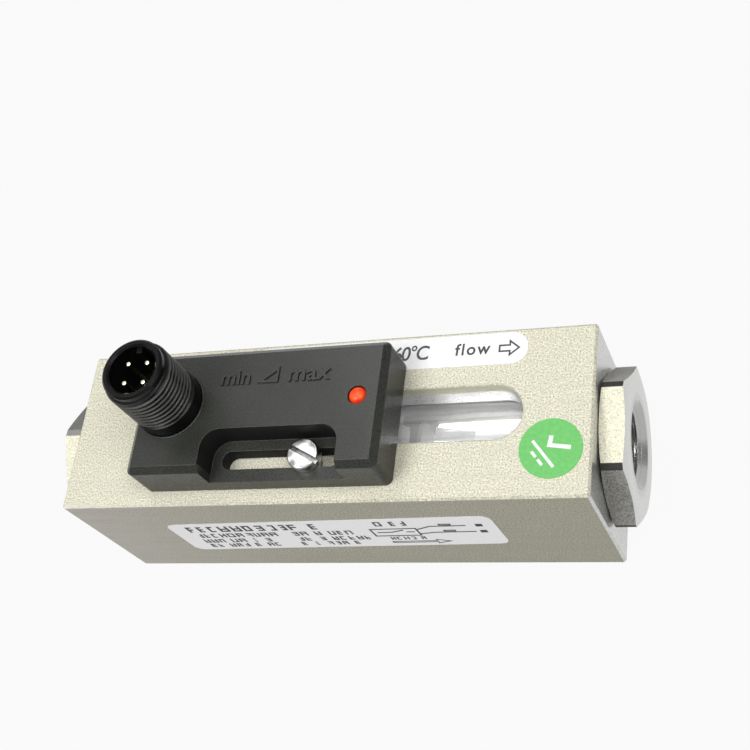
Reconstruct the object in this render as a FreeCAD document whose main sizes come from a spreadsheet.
"""Piston flow switch: a square bar with a glass measuring tube, a sprung magnet piston and a
reed switch unit that slides along the bar to set the switching point.

The origin is the centre of the bar's bottom face, +X follows the flow and +Z points to the
window. All lengths are millimetres, all angles degrees.
"""
import FreeCAD, Part
import math
import os
from types import SimpleNamespace

import Sketcher

# Places along X and Y are distances from the bar's centre, in the direction that the name gives.
SIZES = {
    # Square bar with the flow bore and the window slot
    "block_length": 94.5,
    "block_width": 30.0,
    "block_height": 30.0,
    "block_edge": 0.4,
    "window_width": 9.7,
    "window_left": 24.0,
    "window_right": 35.8,
    "window_edge": 0.25,
    # Hexagon bushes with the threaded ports
    "hex_flats": 24.0,
    "hex_thickness": 4.4,
    "hex_face": 23.0,
    "hex_rim": 27.1,
    "hex_bevel": 0.5,
    "inlet_hex_turn": 32.0,
    "outlet_hex_turn": 8.0,
    "spigot_diameter": 22.0,
    "spigot_length": 8.5,
    "spigot_relief": 0.5,
    "thread_fit": 0.05,
    "port_diameter": 13.157,
    "port_depth": 11.0,
    "port_mouth": 15.0,
    "passage_diameter": 8.0,
    # Glass tube and its end seals
    "tube_diameter": 20.0,
    "tube_wall": 2.5,
    "tube_clearance": 0.3,
    "seal_thickness": 1.5,
    "seal_inset": 0.4,
    # Piston, magnet and bush
    "running_fit": 0.05,
    "piston_left": 17.0,
    "piston_right": 15.0,
    "piston_travel": 9.5,
    "piston_chamfer": 2.0,
    "piston_break": 0.6,
    "piston_web": 8.0,
    "piston_bore": 10.4,
    "flute_width": 3.0,
    "flute_depth": 1.1,
    "flute_count": 4,
    "nose_length": 4.0,
    "nose_base": 5.6,
    "nose_tip": 2.4,
    "magnet_length": 10.0,
    "magnet_bore": 6.0,
    "bush_length": 4.0,
    # Seat sleeve at the inlet, stop and guide rod at the outlet
    "orifice_diameter": 6.4,
    "orifice_land": 5.0,
    "orifice_taper": 4.0,
    "rod_diameter": 4.4,
    "rod_reach": 20.0,
    "stop_web": 6.0,
    "stop_chamfer": 1.5,
    "stop_wall": 1.1,
    "stop_hole": 2.6,
    "stop_hole_circle": 9.7,
    "stop_hole_count": 6,
    # Return spring between the piston's web and the rod's end
    "spring_wire": 0.5,
    "spring_diameter": 3.4,
    "spring_turns": 6.0,
    # Moulded switch housing
    "housing_left": 30.2,
    "housing_right": 15.2,
    "housing_front": 12.4,
    "housing_back": 9.95,
    "housing_height": 8.5,
    "housing_bevel": 1.1,
    "housing_corner": 1.2,
    "housing_wall": 1.6,
    "housing_roof": 1.8,
    "rim_gap": 0.2,
    "boss_depth": 4.0,
    "recess_left": 16.5,
    "recess_right": 8.2,
    "recess_back": 4.9,
    "recess_corner": 3.2,
    "recess_wall": 1.5,
    "ledge_height": 3.2,
    "slot_width": 3.3,
    "slot_left": 14.8,
    "slot_right": 6.8,
    # Bottom plate with the rib that runs in the window slot
    "base_thickness": 1.5,
    "base_fit": 0.1,
    "rib_clearance": 0.15,
    "rib_depth": 3.5,
    "rib_floor": 0.6,
    "rib_left": 14.0,
    "rib_right": 12.0,
    "post_diameter": 1.4,
    "post_height": 0.9,
    "post_left": 15.0,
    "post_right": 11.5,
    "post_front": 2.2,
    "post_back": 6.3,
    # Circuit board, reed switch and lamp
    "board_thickness": 0.8,
    "board_margin": 0.3,
    "reed_place": 1.0,
    "reed_diameter": 2.2,
    "reed_length": 14.0,
    "reed_gap": 0.05,
    "reed_room": 0.4,
    "lead_wire": 0.6,
    "lead_run": 2.0,
    "lead_bend": 0.8,
    "resistor_length": 3.2,
    "resistor_width": 1.6,
    "resistor_height": 0.6,
    "resistor_edge": 0.15,
    "resistor_right": 4.0,
    "resistor_back": 5.0,
    "led_right": 10.65,
    "led_diameter": 3.2,
    "led_proud": 0.5,
    "led_dome": 1.3,
    "led_flange": 3.8,
    "led_flange_height": 0.9,
    # Round plug with four pins
    "plug_left": 23.6,
    "plug_height": 13.5,
    "thread_diameter": 12.0,
    "thread_top": 1.8,
    "neck_diameter": 10.2,
    "nose_ring_height": 1.2,
    "nose_ring_diameter": 11.0,
    "plug_edge": 0.35,
    "plug_spigot": 10.0,
    "socket_diameter": 8.5,
    "socket_depth": 8.5,
    "key_width": 1.0,
    "key_height": 0.8,
    "key_drop": 1.2,
    "pin_diameter": 1.0,
    "pin_circle": 5.0,
    "pin_count": 4,
    "pin_drop": 1.4,
    "pin_tail": 0.4,
    "pin_tip": 0.3,
    "plug_seal_width": 0.8,
    "plug_seal_height": 1.0,
    # Clamp screw
    "screw_right": 0.8,
    "screw_front": 8.4,
    "screw_diameter": 3.0,
    "screw_length": 8.0,
    "screw_hole_depth": 6.0,
    "screw_head": 5.5,
    "screw_head_height": 2.0,
    "screw_head_edge": 0.3,
    "driver_slot_width": 0.8,
    "driver_slot_depth": 0.9,
    "driver_slot_turn": -28.0,
    # Stickers
    "sticker_thickness": 0.1,
    "front_label_length": 60.7,
    "front_label_width": 12.6,
    "front_label_corner": 1.8,
    "front_label_left": 0.8,
    "front_label_height": 15.6,
    "front_label_tilt": -1.8,
    "flow_label_left": 14.0,
    "flow_label_right": 36.0,
    "flow_label_width": 5.8,
    "flow_label_back": 11.4,
    "dot_diameter": 10.2,
    "dot_right": 40.75,
    "dot_front": 6.8,
}

FULL_TURN = 360.0
HEX_SIDES = 6
NEAR = 0.01


class Size:
    """A number worked out from the sheet, kept with the expression that works it out."""

    def __init__(self, value, text):
        self.value = value
        self.text = text

    def __add__(self, other):
        other = as_size(other)
        return Size(self.value + other.value, f"({self.text} + {other.text})")

    def __sub__(self, other):
        other = as_size(other)
        return Size(self.value - other.value, f"({self.text} - {other.text})")

    def __mul__(self, factor):
        factor = as_size(factor)
        return Size(self.value * factor.value, f"({self.text} * {factor.text})")

    def __truediv__(self, divisor):
        divisor = as_size(divisor)
        return Size(self.value / divisor.value, f"({self.text} / {divisor.text})")

    def __neg__(self):
        return Size(-self.value, f"(-1 * {self.text})")


def as_size(number):
    """Plain numbers take part in sums of sizes."""
    if isinstance(number, Size):
        return number
    return Size(float(number), f"{float(number)}")


def cosine(angle):
    return Size(math.cos(math.radians(angle.value)), f"cos({angle.text} * 1 deg)")


def sine(angle):
    return Size(math.sin(math.radians(angle.value)), f"sin({angle.text} * 1 deg)")


doc = FreeCAD.newDocument("PistonFlowSwitch")
sheet = doc.addObject("Spreadsheet::Sheet", "Sizes")
for row, (alias, number) in enumerate(SIZES.items(), start=1):
    sheet.set(f"A{row}", alias)
    sheet.set(f"B{row}", f"{number}")
    sheet.setAlias(f"B{row}", alias)
doc.recompute()
dim = SimpleNamespace(**{alias: Size(float(sheet.get(alias)), f"Sizes.{alias}") for alias in SIZES})
ZERO = as_size(0)

# Levels and radii that several pieces share
block_end = dim.block_length / 2
flow_height = dim.block_height / 2
tube_end = block_end - dim.spigot_length - dim.seal_thickness
tube_radius = dim.tube_diameter / 2
tube_bore = tube_radius - dim.tube_wall
sliding_radius = tube_bore - dim.running_fit
stop_face = dim.piston_right + dim.piston_travel
rod_radius = dim.rod_diameter / 2
rod_start = dim.piston_right + dim.piston_travel - dim.rod_reach
piston_web_face = dim.piston_web - dim.piston_left
housing_top = dim.block_height + dim.housing_height
rim_level = dim.block_height + dim.rim_gap
ledge_level = dim.block_height + dim.ledge_height
roof_level = housing_top - dim.housing_roof
boss_level = housing_top - dim.boss_depth
base_top = dim.block_height + dim.base_thickness
rib_bottom = dim.block_height - dim.rib_depth
reed_floor = rib_bottom + dim.rib_floor
board_level = base_top + dim.post_height
board_top = board_level + dim.board_thickness
plug_bore = dim.socket_diameter / 2
plug_thread = dim.thread_diameter / 2
carrier_top = dim.plug_height - dim.socket_depth

BODIES = []


def new_body(name, right=ZERO, back=ZERO, up=ZERO):
    """A piece whose own origin sits at the given place in the part's frame."""
    body = doc.addObject("PartDesign::Body", name)
    body.Label = name
    body.setExpression("Placement.Base.x", right.text)
    body.setExpression("Placement.Base.y", back.text)
    body.setExpression("Placement.Base.z", up.text)
    BODIES.append(body)
    return body


def origin_item(body, role):
    return next(item for item in body.Origin.OriginFeatures if item.Role == role)


def point(across, along):
    return FreeCAD.Vector(across.value, along.value, 0)


class Outline:
    """A sketch on an origin plane of its body, drawn and dimensioned from sizes."""

    def __init__(self, body, plane, level=ZERO, up=ZERO):
        self.body = body
        self.sketch = body.newObject("Sketcher::SketchObject", f"{body.Name}_outline")
        self.sketch.AttachmentSupport = (origin_item(body, plane), [""])
        self.sketch.MapMode = "FlatFace"
        self.sketch.setExpression("AttachmentOffset.Base.y", up.text)
        self.sketch.setExpression("AttachmentOffset.Base.z", level.text)

    def relate(self, kind, *items):
        self.sketch.addConstraint(Sketcher.Constraint(kind, *items))

    def measure(self, kind, items, size):
        index = self.sketch.addConstraint(Sketcher.Constraint(kind, *items, size.value))
        self.sketch.setExpression(f"Constraints[{index}]", size.text)

    def pin(self, item, end, across, along):
        """Dimension one point of the drawing from the sketch's origin."""
        self.measure("DistanceX", (-1, 1, item, end), across)
        self.measure("DistanceY", (-1, 1, item, end), along)

    def polygon(self, corners):
        followers = corners[1:] + corners[:1]
        lines = [self.sketch.addGeometry(Part.LineSegment(point(*start), point(*end)))
                 for start, end in zip(corners, followers)]
        for line, previous, corner in zip(lines, lines[-1:] + lines[:-1], corners):
            self.relate("Coincident", previous, 2, line, 1)
            self.pin(line, 1, *corner)
        return self

    def rectangle(self, left, low, right, high):
        return self.polygon([(left, low), (right, low), (right, high), (left, high)])

    def circle(self, across, along, radius):
        ring = Part.Circle(point(across, along), FreeCAD.Vector(0, 0, 1), radius.value)
        item = self.sketch.addGeometry(ring)
        self.pin(item, 3, across, along)
        self.measure("Radius", (item,), radius)
        return self

    def stadium(self, left, right, middle, width):
        """A slot outline between two extreme ends, with full round ends."""
        radius = width / 2
        start = left + radius
        finish = right - radius
        normal = FreeCAD.Vector(0, 0, 1)
        quarter = math.pi / 2
        left_round = Part.Circle(point(start, middle), normal, radius.value)
        right_round = Part.Circle(point(finish, middle), normal, radius.value)
        low = middle - radius
        high = middle + radius
        items = [self.sketch.addGeometry(shape) for shape in (
            Part.ArcOfCircle(left_round, quarter, 3 * quarter),
            Part.LineSegment(point(start, low), point(finish, low)),
            Part.ArcOfCircle(right_round, -quarter, quarter),
            Part.LineSegment(point(finish, high), point(start, high)))]
        for item, follower in zip(items, items[1:] + items[:1]):
            self.relate("Tangent", item, 2, follower, 1)
        self.pin(items[0], 3, start, middle)
        self.pin(items[2], 3, finish, middle)
        self.relate("Equal", items[0], items[2])
        self.measure("Radius", (items[0],), radius)
        return self

    def feature(self, kind):
        made = self.body.newObject(f"PartDesign::{kind}", f"{self.body.Name}_{kind.lower()}")
        made.Profile = self.sketch
        return made

    def pad(self, length):
        made = self.feature("Pad")
        made.setExpression("Length", length.text)
        return made

    def pocket(self, depth, upwards=False):
        """Cut against the sketch's normal, or along it."""
        before = solid_volume(self.body)
        made = self.feature("Pocket")
        made.setExpression("Length", depth.text)
        made.Reversed = upwards
        require_cut(self.body, before)
        return made

    def revolve(self, axis="H_Axis"):
        made = self.feature("Revolution")
        made.ReferenceAxis = (self.sketch, [axis])
        made.Angle = FULL_TURN
        return made

    def groove(self, axis="H_Axis"):
        before = solid_volume(self.body)
        made = self.feature("Groove")
        made.ReferenceAxis = (self.sketch, [axis])
        made.Angle = FULL_TURN
        require_cut(self.body, before)
        return made


def solid_volume(body):
    doc.recompute()
    return body.Shape.Volume


def require_cut(body, before):
    if solid_volume(body) >= before:
        raise RuntimeError(f"{body.Label}: a cut removed nothing")


def dress(body, kind, size, wanted):
    """Fillet or chamfer the edges of the body so far that the test picks."""
    doc.recompute()
    base = body.Tip
    names = [f"Edge{i}" for i, edge in enumerate(base.Shape.Edges, start=1) if wanted(edge)]
    made = body.newObject(f"PartDesign::{kind}", f"{body.Name}_{kind.lower()}")
    made.Base = (base, names)
    made.setExpression("Radius" if kind == "Fillet" else "Size", size.text)
    return made


def repeat(body, original, axis, count):
    """Turn copies of one feature round an origin axis of the body."""
    doc.recompute()
    made = body.newObject("PartDesign::PolarPattern", f"{body.Name}_pattern")
    made.Originals = [original]
    made.Axis = (origin_item(body, axis), [""])
    made.Angle = FULL_TURN
    made.setExpression("Occurrences", count.text)
    body.Tip = made
    return made


def near(first, second):
    return abs(first - second) < NEAR


def at_level(edge, level):
    return near(edge.BoundBox.ZMin, level.value) and near(edge.BoundBox.ZMax, level.value)


def is_upright(edge):
    box = edge.BoundBox
    return near(box.XLength, 0) and near(box.YLength, 0)


def stands_at(edge, across, along):
    box = edge.BoundBox
    return is_upright(edge) and near(box.XMin, across.value) and near(box.YMin, along.value)


def ring(name, left, right, inner, outer):
    """A plain ring on the flow axis."""
    body = new_body(name, up=flow_height)
    corners = [(left, inner), (right, inner), (right, outer), (left, outer)]
    Outline(body, "XZ_Plane").polygon(corners).revolve()
    return body


def make_block():
    body = new_body("body_block")
    half_width = dim.block_width / 2
    Outline(body, "XY_Plane").rectangle(-block_end, -half_width, block_end, half_width).pad(dim.block_height)
    dress(body, "Chamfer", dim.block_edge, lambda edge: True)
    bore = tube_radius + dim.tube_clearance
    thread = dim.spigot_diameter / 2 + dim.thread_fit
    thread_end = block_end - dim.spigot_length - dim.spigot_relief
    Outline(body, "XZ_Plane", up=flow_height).polygon([
        (-block_end, ZERO), (-block_end, thread), (-thread_end, thread), (-thread_end, bore),
        (thread_end, bore), (thread_end, thread), (block_end, thread), (block_end, ZERO)]).groove()
    window = Outline(body, "XY_Plane", level=dim.block_height)
    window.stadium(-dim.window_left, dim.window_right, ZERO, dim.window_width).pocket(flow_height)
    half_window = dim.window_width.value / 2

    def on_window_rim(edge):
        box = edge.BoundBox
        return at_level(edge, dim.block_height) and max(-box.YMin, box.YMax) < half_window + NEAR
    dress(body, "Chamfer", dim.window_edge, on_window_rim)
    screw_hole = Outline(body, "XY_Plane", level=dim.block_height)
    screw_radius = dim.screw_diameter / 2 + dim.thread_fit
    screw_hole.circle(dim.screw_right, -dim.screw_front, screw_radius).pocket(dim.screw_hole_depth)


def make_fitting(name, place, heading, hex_turn):
    """A hexagon bush, drawn with its seat on the bar's end face at X = 0 and the port at +X."""
    body = new_body(name, right=place, up=flow_height)
    body.Placement = FreeCAD.Placement(FreeCAD.Vector(), FreeCAD.Rotation(FreeCAD.Vector(0, 0, 1), heading))
    corner_radius = dim.hex_flats / math.sqrt(3)
    turns = [hex_turn + FULL_TURN / HEX_SIDES * side for side in range(HEX_SIDES)]
    corners = [(corner_radius * cosine(turn), corner_radius * sine(turn)) for turn in turns]
    Outline(body, "YZ_Plane").polygon(corners).pad(dim.hex_thickness)
    face_radius = dim.hex_face / 2
    rim_radius = dim.hex_rim / 2
    clear_radius = corner_radius + dim.hex_bevel
    Outline(body, "XZ_Plane").polygon([
        (ZERO, face_radius), (dim.hex_bevel, rim_radius), (dim.hex_thickness - dim.hex_bevel, rim_radius),
        (dim.hex_thickness, face_radius), (dim.hex_thickness, clear_radius), (ZERO, clear_radius)]).groove()
    Outline(body, "XZ_Plane").rectangle(
        -dim.spigot_length, ZERO, dim.hex_bevel, dim.spigot_diameter / 2).revolve()
    port = dim.port_diameter / 2
    mouth = dim.port_mouth / 2
    passage = dim.passage_diameter / 2
    port_end = dim.hex_thickness - dim.port_depth
    Outline(body, "XZ_Plane").polygon([
        (dim.hex_thickness, ZERO), (dim.hex_thickness, mouth), (dim.hex_thickness - (mouth - port), port),
        (port_end, port), (port_end, passage), (-dim.spigot_length, passage),
        (-dim.spigot_length, ZERO)]).groove()


def make_tube_and_seals():
    ring("glass_tube", -tube_end, tube_end, tube_bore, tube_radius)
    seal_bore = tube_bore + dim.seal_inset
    seal_outer = tube_radius - dim.seal_inset
    seal_end = tube_end + dim.seal_thickness
    ring("inlet_seal", -seal_end, -tube_end, seal_bore, seal_outer)
    ring("outlet_seal", tube_end, seal_end, seal_bore, seal_outer)


def make_inlet_sleeve():
    """Seat of the piston: a sleeve whose bore narrows to the orifice that the nose enters."""
    body = new_body("inlet_sleeve", up=flow_height)
    seat = -dim.piston_left
    orifice = dim.orifice_diameter / 2
    passage = dim.passage_diameter / 2
    land = seat - dim.orifice_land
    Outline(body, "XZ_Plane").polygon([
        (-tube_end, passage), (land - dim.orifice_taper, passage), (land, orifice), (seat, orifice),
        (seat, sliding_radius), (-tube_end, sliding_radius)]).revolve()


def make_piston():
    body = new_body("piston", up=flow_height)
    left = -dim.piston_left
    right = dim.piston_right
    chamfer = dim.piston_chamfer
    bore = dim.piston_bore / 2
    Outline(body, "XZ_Plane").polygon([
        (left - dim.nose_length, ZERO), (left - dim.nose_length, dim.nose_tip / 2),
        (left, dim.nose_base / 2), (left, sliding_radius - dim.piston_break),
        (left + dim.piston_break, sliding_radius), (right - chamfer, sliding_radius),
        (right, sliding_radius - chamfer), (right, bore), (piston_web_face, bore),
        (piston_web_face, ZERO)]).revolve()
    half_flute = dim.flute_width / 2
    flute = Outline(body, "YZ_Plane", level=right)
    flute.rectangle(-half_flute, sliding_radius - dim.flute_depth, half_flute, tube_radius)
    repeat(body, flute.pocket(dim.piston_left + dim.piston_right), "X_Axis", dim.flute_count)
    inset_radius = bore - dim.running_fit
    ring("piston_magnet", piston_web_face, piston_web_face + dim.magnet_length,
         dim.magnet_bore / 2, inset_radius)
    ring("piston_bush", right - dim.bush_length, right, rod_radius + dim.running_fit, inset_radius)


def make_spring():
    """Coil spring between the piston's web and the rod's end, its wire drawn with six sides."""
    body = new_body("return_spring", right=piston_web_face, up=flow_height)
    wire = dim.spring_wire / 2
    coil = dim.spring_diameter / 2
    turns = [as_size(FULL_TURN / HEX_SIDES * side) for side in range(HEX_SIDES)]
    corners = [(wire + wire * cosine(turn), coil + wire * sine(turn)) for turn in turns]
    section = Outline(body, "XZ_Plane").polygon(corners)
    helix = section.feature("AdditiveHelix")
    helix.ReferenceAxis = (section.sketch, ["H_Axis"])
    helix.Mode = "height-turns-angle"
    helix.setExpression("Height", (rod_start - piston_web_face - dim.spring_wire).text)
    helix.setExpression("Turns", dim.spring_turns.text)


def make_outlet_stop():
    """Perforated disc on a sleeve that carries the guide rod and stops the piston."""
    body = new_body("outlet_stop", up=flow_height)
    bore = rod_radius + dim.running_fit
    web_end = stop_face + dim.stop_web
    sleeve = sliding_radius - dim.stop_wall
    Outline(body, "XZ_Plane").polygon([
        (stop_face, bore), (web_end, bore), (web_end, sleeve), (tube_end, sleeve),
        (tube_end, sliding_radius), (stop_face + dim.stop_chamfer, sliding_radius),
        (stop_face, sliding_radius - dim.stop_chamfer)]).revolve()
    hole = Outline(body, "YZ_Plane", level=web_end)
    hole.circle(ZERO, dim.stop_hole_circle / 2, dim.stop_hole / 2)
    repeat(body, hole.pocket(dim.stop_web), "X_Axis", dim.stop_hole_count)
    rod = new_body("guide_rod", up=flow_height)
    Outline(rod, "XZ_Plane").rectangle(rod_start, ZERO, web_end, rod_radius).revolve()


def switch_hollow(inset, rim):
    """Plan of the housing's hollow, which passes round the adjusting recess."""
    left = inset + dim.housing_wall - dim.housing_left
    right = dim.housing_right - dim.housing_wall - inset
    front = inset + dim.housing_wall - dim.housing_front
    back = dim.housing_back - dim.housing_wall - inset
    inner_left = -dim.recess_left - dim.recess_wall - inset
    inner_right = dim.recess_right + dim.recess_wall + inset
    inner_back = inset + dim.recess_wall - dim.recess_back
    return rim.polygon([
        (left, front), (inner_left, front), (inner_left, inner_back), (inner_right, inner_back),
        (inner_right, front), (right, front), (right, back), (left, back)])


def make_housing():
    """Moulded shell: bevelled top, adjusting recess with its slotted ledge, and a plug boss."""
    body = new_body("switch_housing")
    Outline(body, "XY_Plane", level=rim_level).rectangle(
        -dim.housing_left, -dim.housing_front, dim.housing_right, dim.housing_back
    ).pad(housing_top - rim_level)
    dress(body, "Fillet", dim.housing_corner, is_upright)
    dress(body, "Chamfer", dim.housing_bevel, lambda edge: at_level(edge, housing_top))
    Outline(body, "XY_Plane", level=housing_top).rectangle(
        -dim.recess_left, -dim.housing_front, dim.recess_right, -dim.recess_back
    ).pocket(housing_top - ledge_level)

    def in_recess_corner(edge):
        return any(stands_at(edge, side, -dim.recess_back) for side in (-dim.recess_left, dim.recess_right))
    dress(body, "Fillet", dim.recess_corner, in_recess_corner)
    Outline(body, "XY_Plane", level=ledge_level).stadium(
        -dim.slot_left, dim.slot_right, -dim.screw_front, dim.slot_width).pocket(ledge_level - rim_level)
    hollow = switch_hollow(ZERO, Outline(body, "XY_Plane", level=rim_level))
    hollow.pocket(boss_level - rim_level, upwards=True)
    inner_left = -dim.recess_left - dim.recess_wall
    inner_back = dim.recess_wall - dim.recess_back
    Outline(body, "XY_Plane", level=boss_level).rectangle(
        inner_left, inner_back, dim.housing_right - dim.housing_wall, dim.housing_back - dim.housing_wall
    ).pocket(roof_level - boss_level, upwards=True)
    Outline(body, "XY_Plane", level=housing_top).circle(
        dim.led_right, ZERO, dim.led_diameter / 2 + dim.running_fit).pocket(dim.housing_roof)
    spigot = dim.plug_spigot / 2 + dim.running_fit
    Outline(body, "XY_Plane", level=housing_top).circle(-dim.plug_left, ZERO, spigot).pocket(dim.boss_depth)
    Outline(body, "XY_Plane", level=housing_top).circle(
        -dim.plug_left, ZERO, spigot + dim.plug_seal_width).pocket(dim.plug_seal_height)


def make_base():
    """Bottom plate with the guide rib, the reed switch's trough and the board's posts."""
    body = new_body("housing_base")
    switch_hollow(dim.base_fit, Outline(body, "XY_Plane", level=dim.block_height)).pad(dim.base_thickness)
    rib_width = dim.window_width - dim.rib_clearance * 2
    Outline(body, "XY_Plane", level=rib_bottom).stadium(
        -dim.rib_left, dim.rib_right, ZERO, rib_width).pad(dim.rib_depth)
    trough = dim.reed_length / 2 + dim.lead_run + dim.lead_wire / 2 + dim.reed_room
    half_trough = dim.reed_diameter / 2 + dim.reed_room / 2
    Outline(body, "XY_Plane", level=base_top).rectangle(
        -dim.reed_place - trough, -half_trough, trough - dim.reed_place, half_trough
    ).pocket(base_top - reed_floor)
    posts = Outline(body, "XY_Plane", level=base_top)
    for across in (-dim.post_left, dim.post_right):
        for along in (-dim.post_front, dim.post_back):
            posts.circle(across, along, dim.post_diameter / 2)
    posts.pad(dim.post_height)


def make_board():
    body = new_body("circuit_board")
    inset = dim.housing_wall + dim.board_margin
    plate = Outline(body, "XY_Plane", level=board_level).rectangle(
        inset - dim.housing_left, dim.recess_wall + dim.board_margin - dim.recess_back,
        dim.housing_right - inset, dim.housing_back - inset)
    plate.pad(dim.board_thickness)
    holes = Outline(body, "XY_Plane", level=board_top)
    reach = dim.pin_circle / 2 / math.sqrt(2)
    for across in (-reach, reach):
        for along in (-reach, reach):
            holes.circle(across - dim.plug_left, along, dim.pin_diameter / 2 + dim.running_fit)
    holes.pocket(dim.board_thickness)
    resistor = new_body("series_resistor", right=dim.resistor_right, back=dim.resistor_back, up=board_top)
    half_length = dim.resistor_length / 2
    half_width = dim.resistor_width / 2
    Outline(resistor, "XY_Plane").rectangle(-half_length, -half_width, half_length, half_width
                                            ).pad(dim.resistor_height)
    dress(resistor, "Chamfer", dim.resistor_edge, lambda edge: at_level(edge, dim.resistor_height))


def make_reed():
    """Glass capsule with rounded ends, and its two wires bent up to the board."""
    radius = dim.reed_diameter / 2
    axis_level = reed_floor + dim.reed_gap + radius
    half = dim.reed_length / 2
    capsule = new_body("reed_switch", right=-dim.reed_place, up=axis_level)
    Outline(capsule, "XZ_Plane").rectangle(-half, ZERO, half, radius).revolve()

    def is_end_rim(edge):
        return near(abs(edge.BoundBox.XMin), half.value) and near(edge.BoundBox.XLength, 0)
    dress(capsule, "Fillet", radius - dim.lead_wire / 2, is_end_rim)
    wires = new_body("reed_leads", right=-dim.reed_place, up=axis_level)
    bend = dim.lead_bend
    elbow = half + dim.lead_run
    rise = board_level - axis_level
    path = Outline(wires, "XZ_Plane")
    normal = FreeCAD.Vector(0, 0, 1)
    bend_round = Part.Circle(point(elbow - bend, bend), normal, bend.value)
    flat = path.sketch.addGeometry(Part.LineSegment(point(half, ZERO), point(elbow - bend, ZERO)))
    turn = path.sketch.addGeometry(Part.ArcOfCircle(bend_round, -math.pi / 2, 0))
    upright = path.sketch.addGeometry(Part.LineSegment(point(elbow, bend), point(elbow, rise)))
    path.relate("Tangent", flat, 2, turn, 1)
    path.relate("Tangent", turn, 2, upright, 1)
    path.pin(flat, 1, half, ZERO)
    path.pin(turn, 3, elbow - bend, bend)
    path.measure("Radius", (turn,), bend)
    path.pin(upright, 2, elbow, rise)
    section = Outline(wires, "YZ_Plane", level=half).circle(ZERO, ZERO, dim.lead_wire / 2)
    pipe = section.feature("AdditivePipe")
    pipe.Spine = path.sketch
    repeat(wires, pipe, "Z_Axis", as_size(2))


def make_led():
    body = new_body("indicator_led", right=dim.led_right, up=board_top)
    radius = dim.led_diameter / 2
    top = housing_top + dim.led_proud - board_top
    flange = dim.led_flange / 2
    Outline(body, "XZ_Plane").polygon([
        (ZERO, ZERO), (flange, ZERO), (flange, dim.led_flange_height), (radius, dim.led_flange_height),
        (radius, top), (ZERO, top)]).revolve("V_Axis")
    dress(body, "Fillet", dim.led_dome, lambda edge: at_level(edge, top))


def make_plug():
    """Round plug, drawn on its own axis with the housing's top at Z = 0."""
    place = {"right": -dim.plug_left, "up": housing_top}
    spigot = dim.plug_spigot / 2
    neck = dim.neck_diameter / 2
    nose = dim.nose_ring_diameter / 2
    thread_top = dim.plug_height - dim.thread_top
    nose_low = dim.plug_height - dim.nose_ring_height
    barrel = new_body("connector_barrel", **place)
    Outline(barrel, "XZ_Plane").polygon([
        (plug_bore, -dim.boss_depth), (spigot, -dim.boss_depth), (spigot, ZERO), (plug_thread, ZERO),
        (plug_thread, thread_top), (neck, thread_top), (neck, nose_low), (nose, nose_low),
        (nose, dim.plug_height - dim.plug_edge), (nose - dim.plug_edge, dim.plug_height),
        (plug_bore, dim.plug_height)]).revolve("V_Axis")
    half_key = dim.key_width / 2
    Outline(barrel, "XY_Plane", level=carrier_top).rectangle(
        -half_key, plug_bore - dim.key_height, half_key, neck
    ).pad(dim.socket_depth - dim.key_drop)
    carrier = new_body("pin_carrier", **place)
    reach = dim.pin_circle / 2 / math.sqrt(2)
    pin_radius = dim.pin_diameter / 2
    Outline(carrier, "XY_Plane", level=-dim.boss_depth).circle(
        ZERO, ZERO, plug_bore - dim.running_fit).pad(carrier_top + dim.boss_depth)
    holes = Outline(carrier, "XY_Plane", level=carrier_top)
    for across in (-reach, reach):
        for along in (-reach, reach):
            holes.circle(across, along, pin_radius + dim.running_fit)
    holes.pocket(carrier_top + dim.boss_depth)
    pins = new_body("connector_pins", **place)
    pin_low = board_level - dim.pin_tail - housing_top
    pin_high = dim.plug_height - dim.pin_drop
    pin = Outline(pins, "XY_Plane", level=pin_low).circle(reach, reach, pin_radius).pad(pin_high - pin_low)
    repeat(pins, pin, "Z_Axis", dim.pin_count)
    dress(pins, "Fillet", dim.pin_tip, lambda edge: at_level(edge, pin_high))
    seal = new_body("connector_seal", **place)
    seal_bore = spigot + dim.running_fit
    seal_outer = seal_bore + dim.plug_seal_width - dim.running_fit
    Outline(seal, "XZ_Plane").rectangle(seal_bore, -dim.plug_seal_height, seal_outer, ZERO).revolve("V_Axis")


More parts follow.
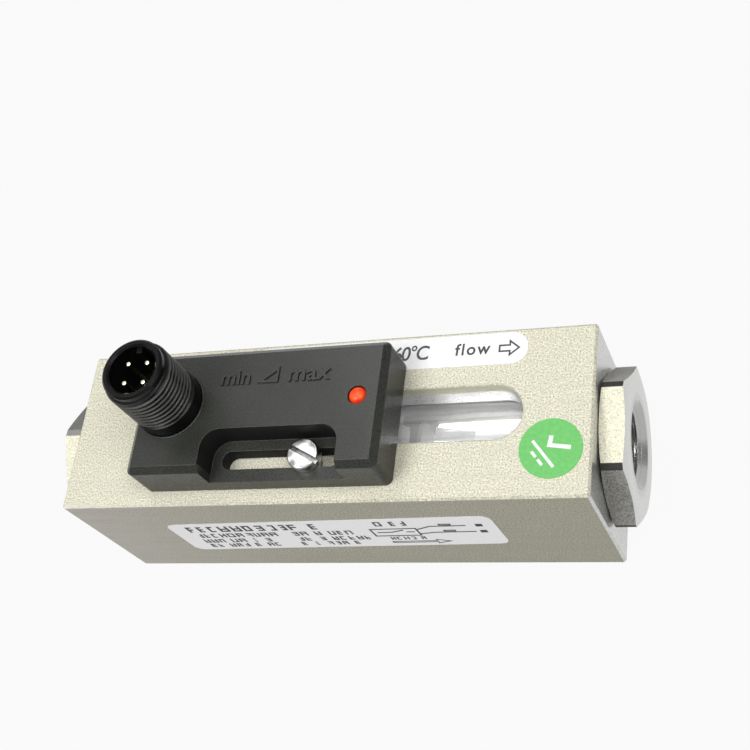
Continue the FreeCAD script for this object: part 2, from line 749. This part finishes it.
def make_screw():
    """Cheese-head screw, drawn on its own axis with the ledge's top at Z = 0."""
    body = new_body("clamp_screw", right=dim.screw_right, back=-dim.screw_front, up=ledge_level)
    turn = FreeCAD.Rotation(FreeCAD.Vector(0, 0, 1), dim.driver_slot_turn.value)
    body.Placement = FreeCAD.Placement(FreeCAD.Vector(), turn)
    shank = dim.screw_diameter / 2
    head = dim.screw_head / 2
    Outline(body, "XZ_Plane").polygon([
        (ZERO, -dim.screw_length), (shank, -dim.screw_length), (shank, ZERO), (head, ZERO),
        (head, dim.screw_head_height), (ZERO, dim.screw_head_height)]).revolve("V_Axis")
    dress(body, "Fillet", dim.screw_head_edge, lambda edge: at_level(edge, dim.screw_head_height))
    half_slot = dim.driver_slot_width / 2
    Outline(body, "XY_Plane", level=dim.screw_head_height).rectangle(
        -dim.screw_head, -half_slot, dim.screw_head, half_slot).pocket(dim.driver_slot_depth)


def make_stickers():
    front = new_body("front_label", right=-dim.front_label_left, back=-dim.block_width / 2,
                     up=dim.front_label_height)
    tilt = FreeCAD.Rotation(FreeCAD.Vector(0, 1, 0), dim.front_label_tilt.value)
    front.Placement = FreeCAD.Placement(FreeCAD.Vector(), tilt)
    half_length = dim.front_label_length / 2
    half_width = dim.front_label_width / 2
    Outline(front, "XZ_Plane").rectangle(-half_length, -half_width, half_length, half_width
                                         ).pad(dim.sticker_thickness)
    dress(front, "Fillet", dim.front_label_corner,
          lambda edge: near(edge.Length, dim.sticker_thickness.value))
    strip = new_body("flow_label", back=dim.flow_label_back, up=dim.block_height)
    Outline(strip, "XY_Plane").stadium(
        -dim.flow_label_left, dim.flow_label_right, ZERO, dim.flow_label_width).pad(dim.sticker_thickness)
    dot = new_body("inspection_dot", right=dim.dot_right, back=-dim.dot_front, up=dim.block_height)
    Outline(dot, "XY_Plane").circle(ZERO, ZERO, dim.dot_diameter / 2).pad(dim.sticker_thickness)


make_block()
make_fitting("inlet_fitting", -block_end, FULL_TURN / 2, dim.inlet_hex_turn)
make_fitting("outlet_fitting", block_end, 0, dim.outlet_hex_turn)
make_tube_and_seals()
make_inlet_sleeve()
make_piston()
make_spring()
make_outlet_stop()
make_housing()
make_base()
make_board()
make_reed()
make_led()
make_plug()
make_screw()
make_stickers()
doc.recompute()

failed = [item.Name for item in doc.Objects if {"Invalid", "Error"} & set(item.State)]
if failed:
    raise RuntimeError(f"features failed: {failed}")
for body in BODIES:
    if body.Shape.isNull() or not body.Shape.isValid() or not body.Shape.Solids:
        raise RuntimeError(f"{body.Label}: no valid solid")

os.makedirs("parts", exist_ok=True)
for body in BODIES:
    body.Shape.exportStep(f"parts/{body.Label}.step")
    print(f"{body.Label}: {len(body.Shape.Solids)} solid(s), {body.Shape.Volume:.1f} mm3")
